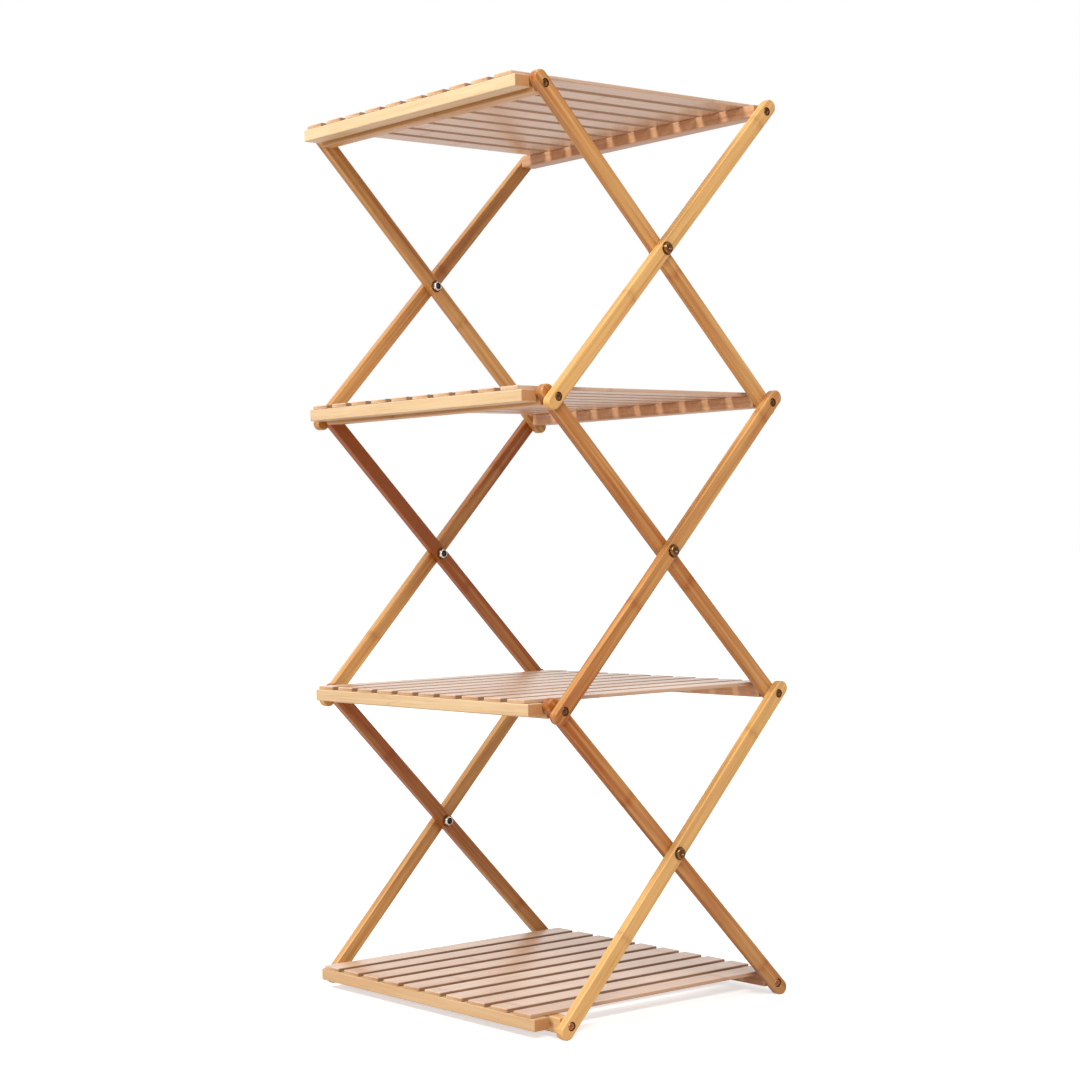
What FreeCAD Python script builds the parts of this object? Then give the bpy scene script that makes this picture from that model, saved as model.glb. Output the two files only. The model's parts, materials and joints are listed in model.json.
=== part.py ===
"""Folding slatted shelf rack of bamboo: four slatted shelves on two side frames of crossed bars.

X runs across the rack, from the left frame to the right one. Y runs from the front to the back, and
Z up. The origin is on the floor, below the middle of the rack. Every length is in millimetres.
Each side has three tiers of two crossed bars. The inner bar, beside the shelves, climbs from the back
to the front, and the outer bar from the front to the back. Their ends meet at the four shelf levels.
"""

import FreeCAD, Part
import math
import os
import Sketcher

Vector = FreeCAD.Vector
START, END, CENTRE = range(1, 4)
ROOT_POINT = (-1, START)

TIERS = ("bottom", "middle", "top")
SHELVES = ("bottom", "lower", "upper", "top")
SIDES = {"left": -1, "right": 1}

# Radius of a shank's tip as a share of the shank's own
TIP_SHARE = 0.25

# The driving sizes, each with its meaning
SIZES = (
    ("tier_height", 314, "height from one level's pivots to the next level's"),
    ("pivot_depth", 300, "from the front pivots to the back pivots of a level"),
    ("bar_width", 16, "width of a frame bar, seen from the side"),
    ("bar_thick", 10, "thickness of a frame bar"),
    ("bar_tip", 15.5, "from a pivot to the tip of its bar's round end"),
    ("bar_round", 1.5, "rounding of a bar's edges"),
    ("layer_gap", 0.4, "between the inner and the outer bars"),
    ("shelf_width", 380, "length of a shelf's battens, across the rack"),
    ("side_gap", 1, "between a batten's end and the bar beside it"),
    ("slat_count", 10, "slats on one shelf"),
    ("slat_gap", 10, "between two slats"),
    ("slat_thick", 4, "thickness of a slat"),
    ("slat_inset", 6, "from a batten's end to the side of the outermost slat"),
    ("slat_round", 0.8, "rounding of a slat's edges"),
    ("batten_depth", 19.5, "depth of both battens, front to back"),
    ("front_batten_height", 12.8, "height of a front batten"),
    ("back_batten_height", 12.8, "height of a back batten"),
    ("batten_round", 1.2, "rounding of a batten's edges"),
    ("hook_gap", 3.6, "between a front batten and the front rail that it hooks over"),
    ("rail_height", 16, "height of a front rail"),
    ("rail_depth", 16, "depth of a front rail"),
    ("rail_round", 1.5, "rounding of a rail's edges"),
    ("seat_gap", 0.3, "between a front rail and the slats that lie on it"),
    ("turn_gap", 0.1, "round a screw or bolt in a hole in which a bar turns"),
    ("thread_gap", 0.02, "round a screw or brad in the wood that holds it"),
    ("screw_radius", 2, "shank of a pivot screw"),
    ("screw_bite", 24, "length of a pivot screw in the rail or batten"),
    ("screw_point", 5, "length of a pivot screw's tapered point"),
    ("screw_head_radius", 3.9, "head of a pivot screw"),
    ("screw_head_height", 2, "height of a pivot screw's head"),
    ("screw_head_round", 1.1, "rounding of a pivot screw's head"),
    ("screw_recess_radius", 4.6, "recess for a pivot screw's head"),
    ("screw_recess_depth", 2.6, "depth of that recess"),
    ("driver_reach", 2.3, "from a head's centre to the end of its driver slot"),
    ("driver_width", 1.1, "width of a driver slot"),
    ("driver_depth", 1.3, "depth of a driver slot"),
    ("bolt_radius", 3, "shank of a crossing bolt"),
    ("bolt_head_radius", 6.2, "domed head of a crossing bolt"),
    ("bolt_head_height", 3.2, "height of that head"),
    ("bolt_head_round", 2, "rounding of that head"),
    ("bolt_inset", 0.6, "from the face of a nut to the bolt's end inside it"),
    ("bolt_point", 0.5, "length of a crossing bolt's tapered end"),
    ("socket_across", 4, "six-sided socket of a crossing bolt, across its flats"),
    ("socket_depth", 2, "depth of that socket"),
    ("washer_radius", 7, "washers of a crossing bolt"),
    ("washer_thick", 0.8, "thickness of those washers"),
    ("nut_across", 10, "nut of a crossing bolt, across its flats"),
    ("nut_height", 4.2, "height of that nut"),
    ("brad_radius", 0.6, "brads that hold the slats"),
    ("brad_bite", 2.6, "length of a brad in its slat"),
    ("brad_shift", 4.5, "from the back pivots to the brads behind them"),
)

# Places and lengths that follow from the driving sizes
PLACES = (
    ("bar_reach", "sqrt(Sizes.tier_height ^ 2 + Sizes.pivot_depth ^ 2) / 2"),
    ("tip_centre", "Sizes.bar_tip - Sizes.bar_width / 2"),
    ("tip_drop", "tip_centre * Sizes.tier_height / (2 * bar_reach) + Sizes.bar_width / 2"),
    ("tip_forward", "tip_centre * Sizes.pivot_depth / (2 * bar_reach) + Sizes.bar_width / 2"),
    ("front_reach", "max(tip_forward; Sizes.rail_depth / 2 + Sizes.hook_gap + Sizes.batten_depth)"),
    ("back_reach", "max(tip_forward; Sizes.batten_depth / 2)"),
    ("pivot_middle", "(front_reach - back_reach) / 2"),
    ("front_line", "pivot_middle - Sizes.pivot_depth / 2"),
    ("back_line", "pivot_middle + Sizes.pivot_depth / 2"),
    ("inner_face", "Sizes.shelf_width / 2 + Sizes.side_gap"),
    ("inner_outside", "inner_face + Sizes.bar_thick"),
    ("outer_face", "inner_outside + Sizes.layer_gap"),
    ("outer_outside", "outer_face + Sizes.bar_thick"),
    ("deck_floor", "Sizes.rail_height / 2 + Sizes.seat_gap"),
    ("deck_front", "-Sizes.pivot_depth - front_reach"),
    ("deck_back", "Sizes.batten_depth / 2"),
    ("slat_room", "Sizes.shelf_width - 2 * Sizes.slat_inset"),
    ("slat_width", "(slat_room - (Sizes.slat_count - 1) * Sizes.slat_gap) / Sizes.slat_count"),
    ("slat_pitch", "slat_width + Sizes.slat_gap"),
    ("first_slat", "-slat_room / 2"),
    ("nut_seat", "inner_face - Sizes.washer_thick"),
    ("bolt_seat", "outer_outside + Sizes.washer_thick"),
    ("bolt_tip", "nut_seat - Sizes.nut_height + Sizes.bolt_inset"),
)

# Lines of brads, from the back pivots, and the place of a shelf's first brads across it
FRONT_BRADS = "Places.deck_front + Sizes.batten_depth / 2"
BACK_BRADS = "Sizes.brad_shift"
FIRST_BRAD = "Places.first_slat + Places.slat_width / 2"

doc = FreeCAD.newDocument("folding_shelf_rack")
parts = []


def fill_sheet():
    """The driving sizes, one row each: meaning, number, and the number's alias."""
    sheet = doc.addObject("Spreadsheet::Sheet", "Sizes")
    for row, (alias, number, meaning) in enumerate(SIZES, start=1):
        sheet.set(f"A{row}", meaning)
        sheet.set(f"B{row}", str(number))
        sheet.setAlias(f"B{row}", alias)
    doc.recompute()
    return {alias: float(sheet.get(alias)) for alias, number, meaning in SIZES}


def fill_places():
    """The places that follow from the sizes, as one set of bound values."""
    places = doc.addObject("App::VarSet", "Places")
    for name, expression in PLACES:
        places.addProperty("App::PropertyFloat", name)
        places.setExpression(name, expression)
    doc.recompute()
    return {name: places.getPropertyByName(name) for name, expression in PLACES}


size = fill_sheet()
place = fill_places()
bar_angle = math.atan2(size["tier_height"], size["pivot_depth"])


def level_height(level):
    """Height of the pivots of a shelf level above the floor."""
    return place["tip_drop"] + level * size["tier_height"]


# Sketching

def new_body(name, base):
    """An empty sub-part with its own origin at a place of the rack."""
    body = doc.addObject("PartDesign::Body", name)
    body.Label = name
    body.AllowCompound = True
    body.Placement = FreeCAD.Placement(base, FreeCAD.Rotation())
    parts.append(body)
    return body


def origin_feature(body, role):
    """A body's own origin plane or axis."""
    return next(feature for feature in body.Origin.OriginFeatures if feature.Role == role)


def new_sketch(body, role, offset=None):
    """A sketch on one of the body's origin planes, moved along its normal by an expression."""
    sketch = body.newObject("Sketcher::SketchObject", f"{body.Name}_sketch")
    sketch.AttachmentSupport = [(origin_feature(body, role), "")]
    sketch.MapMode = "FlatFace"
    if offset:
        sketch.setExpression("AttachmentOffset.Base.z", offset)
    return sketch


def pin(sketch, geometry, point, across, up):
    """Hold a sketch point at two expressions, measured from the sketch's origin."""
    for kind, expression in (("DistanceX", across), ("DistanceY", up)):
        row = sketch.addConstraint(Sketcher.Constraint(kind, *ROOT_POINT, geometry, point, 1))
        sketch.setExpression(f"Constraints[{row}]", expression)


def bind_radius(sketch, geometry, radius):
    """Give a circle or an arc its radius."""
    row = sketch.addConstraint(Sketcher.Constraint("Radius", geometry, 1))
    sketch.setExpression(f"Constraints[{row}]", radius)


def draw_outline(sketch, points):
    """A closed outline of straight edges through points given as pairs of expressions."""
    count = len(points)
    turn = 2 * math.pi / count
    corners = [Vector(math.cos(turn * index), math.sin(turn * index), 0) for index in range(count)]
    first = sketch.GeometryCount
    for index in range(count):
        edge = Part.LineSegment(corners[index], corners[(index + 1) % count])
        sketch.addGeometry(edge)
    for index in range(count):
        following = first + (index + 1) % count
        sketch.addConstraint(Sketcher.Constraint("Coincident", first + index, END, following, START))
    for index, (across, up) in enumerate(points):
        pin(sketch, first + index, START, across, up)


def draw_rectangle(sketch, left, low, right, high):
    """A rectangle between two corners given as expressions."""
    draw_outline(sketch, ((left, low), (right, low), (right, high), (left, high)))


def draw_circle(sketch, across, up, radius):
    """A circle with its centre and radius given as expressions."""
    row = sketch.addGeometry(Part.Circle(Vector(), Vector(0, 0, 1), 1))
    pin(sketch, row, CENTRE, across, up)
    bind_radius(sketch, row, radius)


# Solid features

def finish(body, feature):
    """Make a feature the body's last one and build it."""
    body.Tip = feature
    doc.recompute()
    return feature


def pad(body, sketch, length, side="One side"):
    """Material along the sketch's normal."""
    feature = body.newObject("PartDesign::Pad", f"{body.Name}_pad")
    feature.Profile = sketch
    feature.SideType = side
    feature.setExpression("Length", length)
    return finish(body, feature)


def pocket(body, sketch, length=None, upward=False):
    """A cut against the sketch's normal, or along it, through all where it has no length."""
    before = body.Shape.Volume
    feature = body.newObject("PartDesign::Pocket", f"{body.Name}_pocket")
    feature.Profile = sketch
    feature.Reversed = upward
    if length:
        feature.setExpression("Length", length)
    else:
        feature.Type = "ThroughAll"
    finish(body, feature)
    if not body.Shape.Volume < before:
        raise RuntimeError(f"{feature.Name} cuts nothing")
    return feature


def revolve(body, sketch):
    """A turned piece: the sketch's outline round the rack's X direction."""
    feature = body.newObject("PartDesign::Revolution", f"{body.Name}_turned")
    feature.Profile = sketch
    feature.ReferenceAxis = (origin_feature(body, "X_Axis"), [""])
    return finish(body, feature)


def fillet(body, radius, chosen=None):
    """Round the edges that the test chooses, or all edges."""
    base = body.Tip
    edges = enumerate(base.Shape.Edges, start=1)
    names = [f"Edge{row}" for row, edge in edges if not chosen or chosen(edge)]
    feature = body.newObject("PartDesign::Fillet", f"{body.Name}_round")
    feature.Base = (base, names)
    feature.setExpression("Radius", radius)
    return finish(body, feature)


def mirror(body, originals=None):
    """Repeat features, or the whole piece, on the other side of the rack's middle plane."""
    feature = body.newObject("PartDesign::Mirrored", f"{body.Name}_mirrored")
    feature.MirrorPlane = (origin_feature(body, "YZ_Plane"), [""])
    if originals:
        feature.Originals = originals
    else:
        feature.TransformMode = "Whole shape"
    return finish(body, feature)


def repeat_per_slat(body, originals=None):
    """Repeat features, or the whole piece, once for each slat."""
    feature = body.newObject("PartDesign::LinearPattern", f"{body.Name}_row")
    feature.Direction = (origin_feature(body, "X_Axis"), [""])
    if originals:
        feature.Originals = originals
    else:
        feature.TransformMode = "Whole shape"
    feature.Mode = "Spacing"
    feature.setExpression("Offset", "Places.slat_pitch")
    feature.setExpression("Occurrences", "Sizes.slat_count")
    return finish(body, feature)


# Frame bars

def draw_bar_outline(sketch):
    """A long bar with two round ends; its pivots lie on the sketch's own X axis."""
    reach = place["bar_reach"] + place["tip_centre"]
    radius = size["bar_width"] / 2
    quarter = math.pi / 2
    normal = Vector(0, 0, 1)
    high = sketch.addGeometry(Part.LineSegment(Vector(-reach, radius), Vector(reach, radius)))
    low = sketch.addGeometry(Part.LineSegment(Vector(reach, -radius), Vector(-reach, -radius)))
    far_circle = Part.Circle(Vector(reach, 0), normal, radius)
    far_arc = sketch.addGeometry(Part.ArcOfCircle(far_circle, -quarter, quarter))
    near_circle = Part.Circle(Vector(-reach, 0), normal, radius)
    near_arc = sketch.addGeometry(Part.ArcOfCircle(near_circle, quarter, 3 * quarter))
    joins = ((high, END, far_arc, END), (low, START, far_arc, START))
    joins += ((low, END, near_arc, END), (high, START, near_arc, START))
    for join in joins:
        sketch.addConstraint(Sketcher.Constraint("Tangent", *join))
    sketch.addConstraint(Sketcher.Constraint("Horizontal", high))
    sketch.addConstraint(Sketcher.Constraint("Equal", far_arc, near_arc))
    bind_radius(sketch, far_arc, "Sizes.bar_width / 2")
    pin(sketch, far_arc, CENTRE, "Places.bar_reach + Places.tip_centre", "0")
    row = sketch.addConstraint(Sketcher.Constraint("DistanceX", near_arc, CENTRE, *ROOT_POINT, 1))
    sketch.setExpression(f"Constraints[{row}]", "Places.bar_reach + Places.tip_centre")


def frame_bar(name, side, tier, layer, recessed_ends):
    """One bar of a crossed pair, with its two pivot holes and the crossing hole in the middle."""
    face = place[f"{layer}_face"]
    middle_height = (level_height(tier) + level_height(tier + 1)) / 2
    body = new_body(name, Vector(side * face, place["pivot_middle"], middle_height))
    rise = 1 if layer == "outer" else -1
    along = Vector(0, rise * math.cos(bar_angle), math.sin(bar_angle))
    outward = Vector(side, 0, 0)
    body.Placement.Rotation = FreeCAD.Rotation(along, Vector(), outward, "XZY")
    sketch = new_sketch(body, "XY_Plane")
    draw_bar_outline(sketch)
    pad(body, sketch, "Sizes.bar_thick")
    fillet(body, "Sizes.bar_round", lambda edge: edge.BoundBox.ZLength < size["bar_round"])
    holes = new_sketch(body, "XY_Plane", "Sizes.bar_thick")
    draw_circle(holes, "-Places.bar_reach", "0", "Sizes.screw_radius + Sizes.turn_gap")
    draw_circle(holes, "0", "0", "Sizes.bolt_radius + Sizes.turn_gap")
    draw_circle(holes, "Places.bar_reach", "0", "Sizes.screw_radius + Sizes.turn_gap")
    pocket(body, holes)
    if recessed_ends:
        recess = new_sketch(body, "XY_Plane", "Sizes.bar_thick")
        for sign in recessed_ends:
            draw_circle(recess, f"{sign}Places.bar_reach", "0", "Sizes.screw_recess_radius")
        pocket(body, recess, "Sizes.screw_recess_depth")


def side_frames():
    """The twelve bars. A bar has recesses where no other bar covers its outside at that pivot."""
    inner_recesses = ("-", "", "+")
    for tier, tier_name in enumerate(TIERS):
        for side_name, side in SIDES.items():
            frame_bar(f"{tier_name}_{side_name}_inner_bar", side, tier, "inner", inner_recesses[tier])
            frame_bar(f"{tier_name}_{side_name}_outer_bar", side, tier, "outer", "-+")


# Front rails

def end_holes(body, wood_end):
    """A hole for a pivot screw in each end of a rail or batten, on the pivots' axis."""
    sketch = new_sketch(body, "YZ_Plane", wood_end)
    draw_circle(sketch, "0", "0", "Sizes.screw_radius + Sizes.thread_gap")
    cut = pocket(body, sketch, "Sizes.screw_bite")
    mirror(body, [cut])


def front_rail(level, wood_end):
    """The cross rail at a level's front pivots, under the front of the shelf."""
    base = Vector(0, place["front_line"], level_height(level))
    body = new_body(f"{SHELVES[level]}_front_rail", base)
    sketch = new_sketch(body, "YZ_Plane")
    deep, high = "Sizes.rail_depth / 2", "Sizes.rail_height / 2"
    draw_rectangle(sketch, f"-{deep}", f"-{high}", deep, high)
    pad(body, sketch, f"2 * {wood_end}", "Symmetric")
    fillet(body, "Sizes.rail_round")
    end_holes(body, wood_end)


# Shelves, each drawn from its back pivots

def shelf_body(level, piece):
    """An empty piece of a shelf, with its origin on the shelf's back pivots."""
    base = Vector(0, place["back_line"], level_height(level))
    return new_body(f"{SHELVES[level]}_shelf_{piece}", base)


def slats(level):
    """The slats of one shelf, with blind holes for the brads on their undersides."""
    body = shelf_body(level, "slats")
    sketch = new_sketch(body, "XY_Plane", "Places.deck_floor")
    right = "Places.first_slat + Places.slat_width"
    draw_rectangle(sketch, "Places.first_slat", "Places.deck_front", right, "Places.deck_back")
    pad(body, sketch, "Sizes.slat_thick")
    fillet(body, "Sizes.slat_round")
    holes = new_sketch(body, "XY_Plane", "Places.deck_floor")
    draw_brad_circles(holes, (FRONT_BRADS, BACK_BRADS), "Sizes.brad_radius + Sizes.thread_gap")
    pocket(body, holes, "Sizes.brad_bite", upward=True)
    repeat_per_slat(body)


def draw_brad_circles(sketch, lines, radius):
    """Circles for the brads of the first slat, on the given lines."""
    for line in lines:
        draw_circle(sketch, FIRST_BRAD, line, radius)


def batten(body, wood_end, front, back, height, brads):
    """A batten under the slats, drilled for the brads."""
    sketch = new_sketch(body, "YZ_Plane")
    draw_rectangle(sketch, front, f"Places.deck_floor - {height}", back, "Places.deck_floor")
    pad(body, sketch, f"2 * ({wood_end})", "Symmetric")
    fillet(body, "Sizes.batten_round")
    holes = new_sketch(body, "XY_Plane", "Places.deck_floor")
    draw_brad_circles(holes, (brads,), "Sizes.brad_radius + Sizes.thread_gap")
    cut = pocket(body, holes)
    repeat_per_slat(body, [cut])


def front_batten(level):
    """The batten under the slats' front ends, which hooks over the front rail."""
    body = shelf_body(level, "front_batten")
    back = "Places.deck_front + Sizes.batten_depth"
    half = "Sizes.shelf_width / 2"
    batten(body, half, "Places.deck_front", back, "Sizes.front_batten_height", FRONT_BRADS)


def back_batten(level, face):
    """The batten on the back pivots. The top shelf's one is longer and reaches the outer bars."""
    body = shelf_body(level, "back_batten")
    wood_end = f"{face} - Sizes.side_gap"
    front, back = "-Sizes.batten_depth / 2", "Sizes.batten_depth / 2"
    batten(body, wood_end, front, back, "Sizes.back_batten_height", BACK_BRADS)
    end_holes(body, wood_end)


def brads(level):
    """The headless brads that hold each slat to the two battens."""
    body = shelf_body(level, "brads")
    for line, height in ((FRONT_BRADS, "front_batten_height"), (BACK_BRADS, "back_batten_height")):
        sketch = new_sketch(body, "XY_Plane", f"Places.deck_floor - Sizes.{height}")
        draw_brad_circles(sketch, (line,), "Sizes.brad_radius")
        pad(body, sketch, f"Sizes.{height} + Sizes.brad_bite")
    repeat_per_slat(body)


# Fasteners, drawn at the right frame and mirrored to the left one

def turned_fastener(body, seat, head_radius, head_height, head_round, shank_radius, tip, point):
    """A head outside its seat and a shank that tapers at its inner end. Returns the place of its crown."""
    shoulder = f"{tip} + {point}"
    crown = f"{seat} + {head_height}"
    sketch = new_sketch(body, "XY_Plane")
    outline = [(crown, "0"), (crown, head_radius), (seat, head_radius), (seat, shank_radius)]
    outline += [(shoulder, shank_radius), (tip, f"{shank_radius} * {TIP_SHARE}"), (tip, "0")]
    draw_outline(sketch, outline)
    turned = revolve(body, sketch)
    crown_plane = turned.Shape.BoundBox.XMax - size["thread_gap"]
    fillet(body, head_round, lambda edge: edge.BoundBox.XMin > crown_plane)
    return crown


def draw_cross(sketch):
    """The cross-shaped driver slot of a pivot screw's head."""
    near, far = "Sizes.driver_width / 2", "Sizes.driver_reach"
    quarter = ((far, near), (near, near), (near, far))
    outline = []
    for across_sign, up_sign in (("", ""), ("-", ""), ("-", "-"), ("", "-")):
        corner = [(f"{across_sign}{across}", f"{up_sign}{up}") for across, up in quarter]
        mirrored_once = across_sign != up_sign
        outline += corner[::-1] if mirrored_once else corner
    draw_outline(sketch, outline)


def draw_hexagon(sketch, across_flats):
    """A six-sided outline with two corners level with its centre."""
    corner, middle, flat = f"{across_flats} / sqrt(3)", f"{across_flats} / sqrt(12)", f"{across_flats} / 2"
    upper = [(corner, "0"), (middle, flat), (f"-{middle}", flat)]
    lower = [(f"-{corner}", "0"), (f"-{middle}", f"-{flat}"), (middle, f"-{flat}")]
    draw_outline(sketch, upper + lower)


def pivot_screws(level, line, bar_layer, wood_end):
    """The pair of screws on one line of pivots, through the bars into a rail or batten."""
    base = Vector(0, place[f"{line}_line"], level_height(level))
    body = new_body(f"{SHELVES[level]}_{line}_screws", base)
    crown = turned_fastener(
        body,
        f"Places.{bar_layer}_outside - Sizes.screw_recess_depth",
        "Sizes.screw_head_radius",
        "Sizes.screw_head_height",
        "Sizes.screw_head_round",
        "Sizes.screw_radius",
        f"{wood_end} - Sizes.screw_bite + Sizes.thread_gap",
        "Sizes.screw_point",
    )
    driver = new_sketch(body, "YZ_Plane", crown)
    draw_cross(driver)
    pocket(body, driver, "Sizes.driver_depth")
    mirror(body)


def crossing_body(tier, piece):
    """An empty pair of fasteners where the bars of a tier cross."""
    middle_height = (level_height(tier) + level_height(tier + 1)) / 2
    return new_body(f"{TIERS[tier]}_cross_{piece}", Vector(0, place["pivot_middle"], middle_height))


def crossing_bolts(tier):
    """Domed bolts from the outside, through both bars, to the nuts beside the shelves."""
    body = crossing_body(tier, "bolts")
    crown = turned_fastener(
        body,
        "Places.bolt_seat",
        "Sizes.bolt_head_radius",
        "Sizes.bolt_head_height",
        "Sizes.bolt_head_round",
        "Sizes.bolt_radius",
        "Places.bolt_tip",
        "Sizes.bolt_point",
    )
    socket = new_sketch(body, "YZ_Plane", crown)
    draw_hexagon(socket, "Sizes.socket_across")
    pocket(body, socket, "Sizes.socket_depth")
    mirror(body)


def crossing_washers(tier, piece, face):
    """A pair of washers, outside the outer bars or inside the inner ones."""
    body = crossing_body(tier, piece)
    sketch = new_sketch(body, "YZ_Plane", face)
    draw_circle(sketch, "0", "0", "Sizes.washer_radius")
    draw_circle(sketch, "0", "0", "Sizes.bolt_radius + Sizes.turn_gap")
    pad(body, sketch, "Sizes.washer_thick")
    mirror(body)


def crossing_nuts(tier):
    """A pair of hexagonal lock nuts."""
    body = crossing_body(tier, "nuts")
    sketch = new_sketch(body, "YZ_Plane", "Places.nut_seat - Sizes.nut_height")
    draw_hexagon(sketch, "Sizes.nut_across")
    draw_circle(sketch, "0", "0", "Sizes.bolt_radius + Sizes.thread_gap")
    pad(body, sketch, "Sizes.nut_height")
    mirror(body)


# The whole rack

def build():
    """Every piece of the rack, from the floor up."""
    side_frames()
    last = len(SHELVES) - 1
    for level in range(len(SHELVES)):
        front_wood = "Places.outer_face" if level == 0 else "Places.inner_face"
        back_face = "Places.outer_face" if level == last else "Places.inner_face"
        front_rail(level, front_wood)
        slats(level)
        front_batten(level)
        back_batten(level, back_face)
        brads(level)
        pivot_screws(level, "front", "inner" if level == last else "outer", front_wood)
        back_bar = "inner" if level == 0 else "outer"
        pivot_screws(level, "back", back_bar, f"{back_face} - Sizes.side_gap")
    for tier in range(len(TIERS)):
        crossing_bolts(tier)
        crossing_washers(tier, "outer_washers", "Places.outer_outside")
        crossing_washers(tier, "inner_washers", "Places.nut_seat")
        crossing_nuts(tier)
    doc.recompute()


def check():
    """Stop if any object failed to build or any sub-part has no valid solid."""
    for item in doc.Objects:
        if "Invalid" in item.State or "Error" in item.State:
            raise RuntimeError(f"{item.Name} is {item.State}")
    for body in parts:
        if body.Shape.isNull() or not body.Shape.isValid() or not body.Shape.Solids:
            raise RuntimeError(f"{body.Label} has no valid solid")


def write():
    """One file for each sub-part, named after it."""
    os.makedirs("parts", exist_ok=True)
    for body in parts:
        body.Shape.exportStep(f"parts/{body.Label}.step")
        print(body.Label, len(body.Shape.Solids), round(body.Shape.Volume))


build()
check()
write()
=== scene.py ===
"""Looks of the folding slatted shelf rack: bamboo bars, rails, slats and battens with brass fasteners.

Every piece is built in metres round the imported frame, in the frame's own axes: X from the left frame
to the right one, Y from the front to the back, Z up. A wooden piece is drawn lying along its own grain
and then turned into place, so that its grain runs along it whichever way it points.
"""

import json
import math
import random

import bmesh
import bpy
from bpy.props import FloatProperty, FloatVectorProperty, IntProperty, PointerProperty
from bpy.types import Operator, Panel, PropertyGroup
from mathutils import Matrix, Vector


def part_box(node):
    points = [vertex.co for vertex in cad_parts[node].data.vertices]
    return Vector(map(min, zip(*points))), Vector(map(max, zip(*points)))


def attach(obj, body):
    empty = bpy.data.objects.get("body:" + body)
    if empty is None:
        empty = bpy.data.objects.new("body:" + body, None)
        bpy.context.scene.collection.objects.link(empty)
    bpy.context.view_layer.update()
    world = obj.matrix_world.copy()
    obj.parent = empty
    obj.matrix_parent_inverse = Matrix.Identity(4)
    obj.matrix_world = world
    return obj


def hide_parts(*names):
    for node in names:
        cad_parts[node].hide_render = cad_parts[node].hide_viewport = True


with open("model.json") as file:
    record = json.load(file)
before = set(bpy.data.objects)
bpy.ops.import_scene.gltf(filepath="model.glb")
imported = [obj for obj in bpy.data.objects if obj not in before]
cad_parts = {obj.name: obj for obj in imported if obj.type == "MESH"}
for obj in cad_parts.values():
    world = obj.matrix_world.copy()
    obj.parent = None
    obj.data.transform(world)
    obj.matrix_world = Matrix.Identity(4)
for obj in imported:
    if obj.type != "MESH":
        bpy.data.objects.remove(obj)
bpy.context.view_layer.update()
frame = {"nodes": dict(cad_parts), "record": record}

bl_info = {
    "name": "Folding Shelf Rack",
    "version": (1, 0, 0),
    "blender": (4, 5, 0),
    "location": "View3D > Sidebar > Rack",
    "description": "Builds the looks of a folding slatted bamboo shelf rack round its packed frame",
    "category": "Add Mesh",
}

TIERS = ("bottom", "middle", "top")
SHELVES = ("bottom", "lower", "upper", "top")
SIDES = {"left": -1, "right": 1}

# How deep the tone of each bar is at its foot and at its head, from honey at 0 to brown at 1 and beyond.
# Besides each bar's own tone this holds painted shade: the far left bars are deeper, and most bars
# deepen towards their heads, where the shelf above shades them
BAR_TONES_AND_SHADE = {
    "bottom_left_inner": (0.55, 0.95),
    "bottom_left_outer": (0.5, 0.3),
    "bottom_right_inner": (0.68, 0.95),
    "bottom_right_outer": (0.12, 0.12),
    "middle_left_inner": (0.82, 1.4),
    "middle_left_outer": (0.05, 0.95),
    "middle_right_inner": (0.62, 0.68),
    "middle_right_outer": (0.68, 0.48),
    "top_left_inner": (0.2, 0.4),
    "top_left_outer": (0.4, 0.5),
    "top_right_inner": (0.3, 0.65),
    "top_right_outer": (0.1, 0.1),
}

# How deep the tones of each shelf's slats can be
SLAT_TONES = {
    "bottom": (0.3, 0.75),
    "lower": (0.3, 0.75),
    "upper": (0.15, 0.55),
    "top": (0.15, 0.55),
}

# How deep the tone of each shelf's front rail and of its front batten is, and of every back batten, whose
# deeper tone is painted shade of the slats over it
RAIL_TONES = {"bottom": 0.15, "lower": 0.4, "upper": 0.5, "top": 0.45}
BATTEN_TONES = {"bottom": 0.65, "lower": 0.35, "upper": 0.3, "top": 0.15}
BACK_BATTEN_SHADED_TONE = 0.5

# How far the outer sides of a shelf's outermost slats take the slats' dark edge colour, which on every
# inner side is painted shade of the gaps between slats
OUTSIDE_GAP_SHADE = 0.35

# The grain of the battens and the slats' ends: strips to the metre, and metres from one of the cane's nodes
# to the next, which is so far that hardly a piece shows one
BATTEN_GRAIN = {"strips": 190.0, "spacing": 5.0}

# Ends of the inner bars, -1 the foot and 1 the head, that no outer bar covers: a screw's head is sunk there
BARE_INNER_ENDS = {"bottom": (-1,), "top": (1,)}

# How many steps draw a rounded edge, a bar's tip, a hole, a head, its crown, a nut and a brad
ROUND_STEPS = 4
TIP_STEPS = 20
HOLE_STEPS = 32
HEAD_STEPS = 48
CROWN_STEPS = 6
NUT_STEPS = 72
BRAD_STEPS = 16

# The camera's place in metres, the way it looks in degrees, its lens and the width of its sensor in
# millimetres, and the nearest that it sees in metres
CAMERA_PLACE = (1.9484, -1.58264, 0.5038)
CAMERA_HEADING = 50.864
CAMERA_DIP = 0.127
CAMERA_ROLL = -1.2
CAMERA_LENS = 75.567
CAMERA_SENSOR = 36
CAMERA_CLIP_START = 0.01

# Where the lamps aim, and each lamp's place in metres, power in watts, width in metres and colour
MIDDLE_OF_RACK = (0, 0, 0.5)
KEY_LAMP = {"place": (-0.5, -2.5, 2.8), "power": 94, "reach": 1.0, "tint": (1, 0.985, 0.96)}
SIDE_LAMP = {"place": (2.6, -1.2, 2.4), "power": 74, "reach": 1.6, "tint": (1, 0.98, 0.95)}

# How much light the white surroundings give
SURROUNDING_LIGHT = 0.28

# How bright the white surroundings and the white floor show in reflections
MIRRORED_SURROUNDINGS = 0.8
MIRRORED_FLOOR = 0.5

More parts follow.
